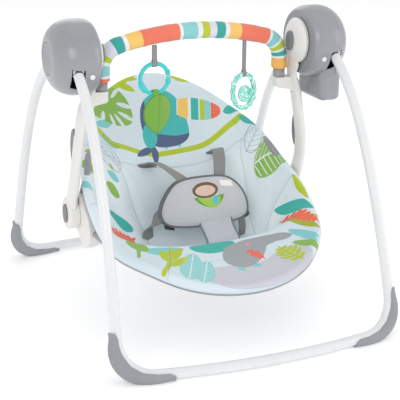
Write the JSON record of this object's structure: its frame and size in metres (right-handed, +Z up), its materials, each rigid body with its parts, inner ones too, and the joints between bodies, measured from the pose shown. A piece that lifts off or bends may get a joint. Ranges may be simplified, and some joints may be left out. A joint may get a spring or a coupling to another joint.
{
  "type": "baby swing",
  "caption": "Portable baby swing: folding tubular frame, two hubs, swinging arms, reclining fabric hammock seat with harness, and a striped toy bar with hanging toys.",
  "frame": {"origin": "on the floor under the middle of the whole object's width and depth; the swing axis is 15.25 mm behind it and 507.4 mm above it", "axes": "+Z up, +X to the right as seen from the front, the foot end of the seat faces -Y"},
  "size_m": [0.588, 0.7222, 0.5735],
  "materials": {
    "hub_grey": "smooth semi-gloss moulded grey plastic",
    "panel_grey": "smooth semi-gloss moulded grey plastic, a shade lighter",
    "frame_white": "white powder coat",
    "arm_white": "white moulded plastic, satin",
    "foot_grey": "matt grey moulded plastic",
    "cap_grey": "dark grey moulded plastic",
    "button_white": "white moulded plastic",
    "seat_tube": "grey painted steel tube",
    "steel": "plain steel",
    "inner_black": "black moulded plastic",
    "bush_plastic": "natural acetal",
    "board_green": "circuit board",
    "battery": "wrapped dry cell",
    "seat_print": "woven polyester, pale blue printed ground",
    "hem_print": "rolled fabric hem, grey binding towards the feet",
    "pad_heather": "heather grey knit",
    "webbing": "grey polyester webbing",
    "bar_cover": "striped soft sleeve",
    "toy_aqua": "aqua moulded plastic",
    "leaf_plush": "green short plush",
    "teether_mint": "translucent mint glitter plastic"
  },
  "bodies": {
    "rear_frame": {"rear_leg_left": "frame_white", "rear_leg_right": "frame_white", "rear_floor_tube": "frame_white", "rear_foot_left": "foot_grey", "rear_foot_right": "foot_grey", "rear_tube_joiners": "inner_black", "hub_shell_left": "hub_grey", "hub_shell_right": "hub_grey", "hub_cap_left": "panel_grey", "hub_control_cover": "panel_grey", "hub_plate_left": "panel_grey", "hub_plate_right": "panel_grey", "battery_door": "panel_grey", "battery_cells": "battery", "battery_contacts": "steel", "control_board": "board_green", "motor_gearbox": "inner_black", "fold_pins": "steel", "rear_leg_bolts": "steel", "swing_bushes": "bush_plastic"},
    "front_frame": {"front_leg_left": "frame_white", "front_leg_right": "frame_white", "front_floor_tube": "frame_white", "front_foot_left": "foot_grey", "front_foot_right": "foot_grey", "front_tube_joiners": "inner_black", "front_leg_knuckles": "inner_black"},
    "swing": {"arm_inner_shell_left": "arm_white", "arm_inner_shell_right": "arm_white", "arm_outer_shell_left": "arm_white", "arm_outer_shell_right": "arm_white", "swing_caps": "cap_grey", "swing_axle_left": "steel", "swing_drive_shaft": "steel"},
    "seat": {"seat_head_tube": "seat_tube", "seat_foot_tube": "seat_tube", "seat_bracket_left": "arm_white", "seat_bracket_right": "arm_white", "seat_pivot_pins": "steel", "seat_fabric": "seat_print", "seat_hem": "hem_print", "harness_pad": "pad_heather", "shoulder_straps": "webbing", "waist_straps": "webbing", "crotch_strap": "pad_heather"},
    "toy_bar": {"toy_bar_core": "steel", "toy_bar_cover": "bar_cover", "bar_clips": "seat_tube"},
    "ring_toy": {"ring_strap": "webbing", "toy_ring": "toy_aqua"},
    "leaf": {"leaf_toy": "leaf_plush"},
    "teether_toy": {"teether_strap": "webbing", "teether": "teether_mint"},
    "fold_key_left": {"fold_button_left": "button_white"},
    "fold_key_right": {"fold_button_right": "button_white"},
    "speed_key": {"speed_button": "button_white"},
    "catch_left": {"recline_catch_left": "cap_grey"},
    "catch_right": {"recline_catch_right": "cap_grey"},
    "bar_key_left": {"bar_release_left": "button_white"},
    "bar_key_right": {"bar_release_right": "button_white"}
  },
  "joints": [
    {"name": "frame_fold", "type": "hinge", "parent": "rear_frame", "child": "front_frame", "pos_m": [0, -0.07225, 0.492], "axis": [1, 0, 0], "range_deg": [0, 45]},
    {"name": "swing_rock", "type": "hinge", "parent": "rear_frame", "child": "swing", "pos_m": [0, -0.01525, 0.5074], "axis": [1, 0, 0], "range_deg": [-14, 14]},
    {"name": "seat_recline", "type": "hinge", "parent": "swing", "child": "seat", "pos_m": [0, 0.04275, 0.19], "axis": [-1, 0, 0], "range_deg": [0, 12]},
    {"name": "toy_bar_lift", "type": "slide", "parent": "swing", "child": "toy_bar", "axis": [0, 0, 1], "range_m": [0, 0.018]},
    {"name": "ring_toy_swing", "type": "hinge", "parent": "toy_bar", "child": "ring_toy", "pos_m": [-0.08, 0.00655, 0.513], "axis": [1, 0, 0], "range_deg": [-20, 20]},
    {"name": "leaf_swing", "type": "hinge", "parent": "ring_toy", "child": "leaf", "pos_m": [-0.08, 0.00655, 0.42], "axis": [1, 0, 0], "range_deg": [-20, 20]},
    {"name": "teether_swing", "type": "hinge", "parent": "toy_bar", "child": "teether_toy", "pos_m": [0.106, 0.00655, 0.5093], "axis": [1, 0, 0], "range_deg": [-20, 20]},
    {"name": "fold_key_left_press", "type": "slide", "parent": "rear_frame", "child": "fold_key_left", "axis": [0, 1, 0], "range_m": [0, 0.004], "stiffness_N_per_m": 400, "springref_m": -0.0005},
    {"name": "fold_key_right_press", "type": "slide", "parent": "rear_frame", "child": "fold_key_right", "axis": [0, 1, 0], "range_m": [0, 0.004], "stiffness_N_per_m": 400, "springref_m": -0.0005},
    {"name": "speed_key_press", "type": "slide", "parent": "rear_frame", "child": "speed_key", "axis": [-1, 0, 0], "range_m": [0, 0.0015], "stiffness_N_per_m": 400, "springref_m": -0.0005},
    {"name": "catch_left_squeeze", "type": "slide", "parent": "swing", "child": "catch_left", "axis": [0, -1, 0], "range_m": [0, 0.004], "stiffness_N_per_m": 400, "springref_m": -0.0005},
    {"name": "catch_right_squeeze", "type": "slide", "parent": "swing", "child": "catch_right", "axis": [0, -1, 0], "range_m": [0, 0.004], "stiffness_N_per_m": 400, "springref_m": -0.0005},
    {"name": "bar_key_left_press", "type": "slide", "parent": "toy_bar", "child": "bar_key_left", "axis": [0, 1, 0], "range_m": [0, 0.0015], "stiffness_N_per_m": 400, "springref_m": -0.0005},
    {"name": "bar_key_right_press", "type": "slide", "parent": "toy_bar", "child": "bar_key_right", "axis": [0, 1, 0], "range_m": [0, 0.0015], "stiffness_N_per_m": 400, "springref_m": -0.0005}
  ]
}
